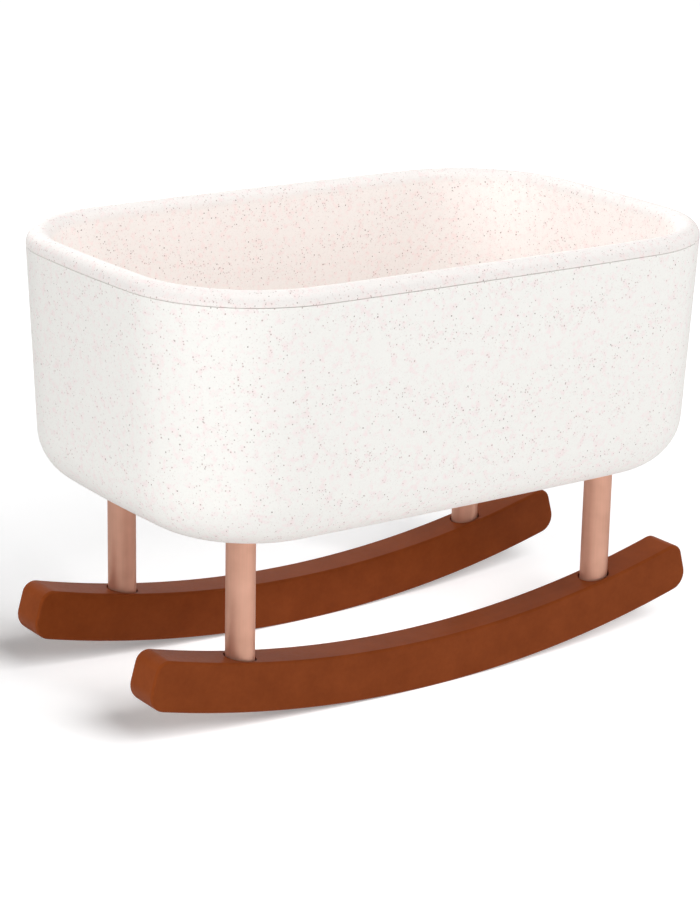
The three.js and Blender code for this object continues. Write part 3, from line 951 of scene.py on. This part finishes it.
# %% Make the plug plastic and the zinc
def make_fastening_finish(name, dull, bright, metallic, roughness):
    material, tree, shader, place = new_material(name)
    cloud = noise(tree, place, 700, detail=3.0).outputs[0]
    color = mixed(tree, remap(tree, cloud, 0.3, 0.7, 0.0, 1.0), dull, bright)
    tree.links.new(color, shader.inputs["Base Color"])
    shader.inputs["Metallic"].default_value = metallic
    satin = remap(tree, cloud, 0.3, 0.7, roughness, roughness + 0.1)
    tree.links.new(satin, shader.inputs["Roughness"])
    return material


PLUG_DULL = (0.50, 0.48, 0.45)
PLUG_BRIGHT = (0.58, 0.56, 0.53)
ZINC_DULL = (0.52, 0.54, 0.57)
ZINC_BRIGHT = (0.70, 0.71, 0.72)
plug_plastic = make_fastening_finish("grey_plug_plastic", PLUG_DULL, PLUG_BRIGHT, 0.0, 0.5)
zinc = make_fastening_finish("zinc_plating", ZINC_DULL, ZINC_BRIGHT, 1.0, 0.28)

# %% Give each piece its finish and its place in the assembly
FINISHES = {
    "speckled_plastic": shell_plastic,
    "rose_metal": rose_metal,
    "brown_plastic": brown_plastic,
    "plug_plastic": plug_plastic,
    "zinc_steel": zinc,
}


def finish_piece(piece, slot, node, material=None):
    piece.data.materials.clear()
    piece.data.materials.append(material or FINISHES[slot])
    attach(piece, "root")
    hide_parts(node)


finish_piece(outer_shell, "speckled_plastic", "outer_shell")
finish_piece(inner_tub, "speckled_plastic", "inner_tub", tub_plastic)
for corner, leg in legs.items():
    finish_piece(leg, "rose_metal", f"{corner}_leg")
for side in ("front", "rear"):
    finish_piece(rockers[side], "brown_plastic", f"{side}_rocker")
    finish_piece(sole_plates[side], "brown_plastic", f"{side}_rocker_sole_plate")

kept_nodes = [name for name in frame["nodes"] if name.endswith(("_plug", "_screw"))]
for name in kept_nodes:
    finish = FINISHES["plug_plastic" if name.endswith("_plug") else "zinc_steel"]
    for material_slot in bpy.data.objects[name].material_slots:
        material_slot.material = finish
print("packed pieces kept, with a new finish:", len(kept_nodes))

# %% [markdown]
# ## Camera
# A long lens from the front left, a little above the rim.

# %% Place the camera
AIM = Vector((0, 15.5 * MM, 133.0 * MM))
CAMERA_DISTANCE = 1.7459
CAMERA_AZIMUTH = math.radians(-35.350)
CAMERA_ELEVATION = math.radians(17.069)
CAMERA_ROLL = math.radians(1.197)
LENS = 105.606


def make_camera():
    data = bpy.data.cameras.new("camera")
    data.sensor_width = 36
    data.lens = LENS
    data.clip_start = 0.05
    data.clip_end = 50
    camera = bpy.data.objects.new("camera", data)
    bpy.context.scene.collection.objects.link(camera)
    turn = Matrix.Rotation(CAMERA_AZIMUTH, 4, "Z")
    tilt = Matrix.Rotation(math.pi / 2 - CAMERA_ELEVATION, 4, "X")
    roll = Matrix.Rotation(CAMERA_ROLL, 4, "Z")
    back = Matrix.Translation((0, 0, CAMERA_DISTANCE))
    camera.matrix_world = Matrix.Translation(AIM) @ turn @ tilt @ back @ roll
    bpy.context.scene.camera = camera
    return camera


camera = make_camera()
print("camera at", [round(value, 4) for value in camera.matrix_world.translation])


# %% [markdown]
# ## Floor
# The crib stands on a white floor. Near the crib a light does most of the work, so that shadows
# can show. Further out the light fades, and the floor's own glow, which only the camera sees,
# grows to take its place, so the white stays even.

# %% Lay the floor
FLOOR_SIZE = 5.6
NEAR_GLOW, FAR_GLOW = 0.30, 0.95
GLOW_STARTS, GLOW_ENDS = 0.28, 0.75
PAPER_DULL = (0.79, 0.79, 0.795)
PAPER_BRIGHT = (0.81, 0.81, 0.815)


def make_floor():
    bpy.ops.object.select_all(action="DESELECT")
    bpy.ops.mesh.primitive_plane_add(size=FLOOR_SIZE, location=(0, 0, 0))
    plane = new_piece("studio_floor")
    material, tree, shader, place = new_material("studio_floor_white")
    paper = noise(tree, place, 120, detail=2.0).outputs[0]
    tree.links.new(mixed(tree, paper, PAPER_DULL, PAPER_BRIGHT), shader.inputs["Base Color"])
    shader.inputs["Roughness"].default_value = 0.9
    shader.inputs["Specular IOR Level"].default_value = 0.0
    shader.inputs["Emission Color"].default_value = (1, 1, 1, 1)
    seen = add_node(tree, "ShaderNodeLightPath").outputs["Is Camera Ray"]
    length = add_node(tree, "ShaderNodeVectorMath", {0: place}, operation="LENGTH")
    distance = length.outputs["Value"]
    glow = remap(tree, distance, GLOW_STARTS, GLOW_ENDS, NEAR_GLOW, FAR_GLOW)
    tree.links.new(math_node(tree, "MULTIPLY", seen, glow), shader.inputs["Emission Strength"])
    plane.data.materials.append(material)
    return plane


studio_floor = make_floor()
print("floor:", studio_floor.name)

# %% [markdown]
# ## Lights
# Large soft lights stand round the crib and hang over it, and reach only the crib. One more, in
# front, reaches only the floor, which throws part of that light back up onto the crib. Only the
# legs, rockers and sole plates cast its shadow, so the shadows hug the rockers. The metal doesn't
# mirror the lights: it takes its soft bands from the room.


# %% Hang the soft lights
def soft_light(name, place, size, power):
    data = bpy.data.lights.new(name, "AREA")
    data.shape = "RECTANGLE"
    data.size, data.size_y = size
    data.energy = power
    lamp = bpy.data.objects.new(name, data)
    bpy.context.scene.collection.objects.link(lamp)
    lamp.visible_glossy = False
    facing = (Vector(place) - AIM).to_track_quat("Z", "Y").to_matrix().to_4x4()
    lamp.matrix_world = Matrix.Translation(place) @ facing
    return lamp


def light_only(lamp, receivers, blockers=None):
    """Lets a light reach only some objects, and lets only some of them cast its shadow."""
    for use, objects in (("receiver", receivers), ("blocker", blockers)):
        if objects is None:
            continue
        group = bpy.data.collections.new(f"{lamp.name}_{use}s")
        for item in objects:
            group.objects.link(item)
        setattr(lamp.light_linking, f"{use}_collection", group)


SIDE_SIZE = (1.8, 1.4)
OVERHEAD_SIZE = (2.8, 2.2)
FLOOR_LIGHT_SIZE = (1.6, 1.2)
CRIB_LIGHTS = {
    "front_softbox": ((-0.6, -2.6, 1.1), SIDE_SIZE, 27),
    "left_softbox": ((-2.8, 0.2, 1.1), SIDE_SIZE, 47),
    "right_softbox": ((2.6, -0.8, 1.1), SIDE_SIZE, 23),
    "back_softbox": ((0.6, 2.7, 1.1), SIDE_SIZE, 68),
    "overhead_softbox": ((0.2, -0.2, 2.4), OVERHEAD_SIZE, 49),
}
meshes = [item for item in bpy.context.scene.objects if item.type == "MESH"]
crib_pieces = [item for item in meshes if item is not studio_floor]
for name, (place, size, power) in CRIB_LIGHTS.items():
    light_only(soft_light(name, place, size, power), crib_pieces)

floor_light = soft_light("floor_softbox", (0.1, -1.85, 1.5), FLOOR_LIGHT_SIZE, 87)
low_pieces = [*legs.values(), *rockers.values(), *sole_plates.values()]
light_only(floor_light, [studio_floor], low_pieces)
print("lights on the crib:", list(CRIB_LIGHTS))

# %% [markdown]
# ## Room
# The room is plain white for the camera. Reflections see it grade from light grey near the floor
# to a deeper grey above, and it lights nothing else.

# %% Paint the room
ROOM_SEEN = 1.05
ROOM_LOW, ROOM_HIGH = 0.76, 0.42
GRADE_STARTS, GRADE_ENDS = -0.1, 0.9


def make_room():
    world = bpy.data.worlds.new("white_room")
    bpy.context.scene.world = world
    world.use_nodes = True
    tree = world.node_tree
    background = tree.nodes["Background"]
    ray = add_node(tree, "ShaderNodeLightPath")
    direction = add_node(tree, "ShaderNodeTexCoord").outputs["Generated"]
    parts = add_node(tree, "ShaderNodeSeparateXYZ", {0: direction})
    height = parts.outputs["Z"]
    grey = remap(tree, height, GRADE_STARTS, GRADE_ENDS, ROOM_LOW, ROOM_HIGH)
    reflected = math_node(tree, "MULTIPLY", ray.outputs["Is Glossy Ray"], grey)
    seen = math_node(tree, "MULTIPLY", ray.outputs["Is Camera Ray"], ROOM_SEEN)
    strength = math_node(tree, "ADD", seen, reflected)
    background.inputs["Color"].default_value = (1, 1, 1, 1)
    tree.links.new(strength, background.inputs["Strength"])
    return world


print("room:", make_room().name)
bpy.context.scene.view_settings.view_transform = "Standard"
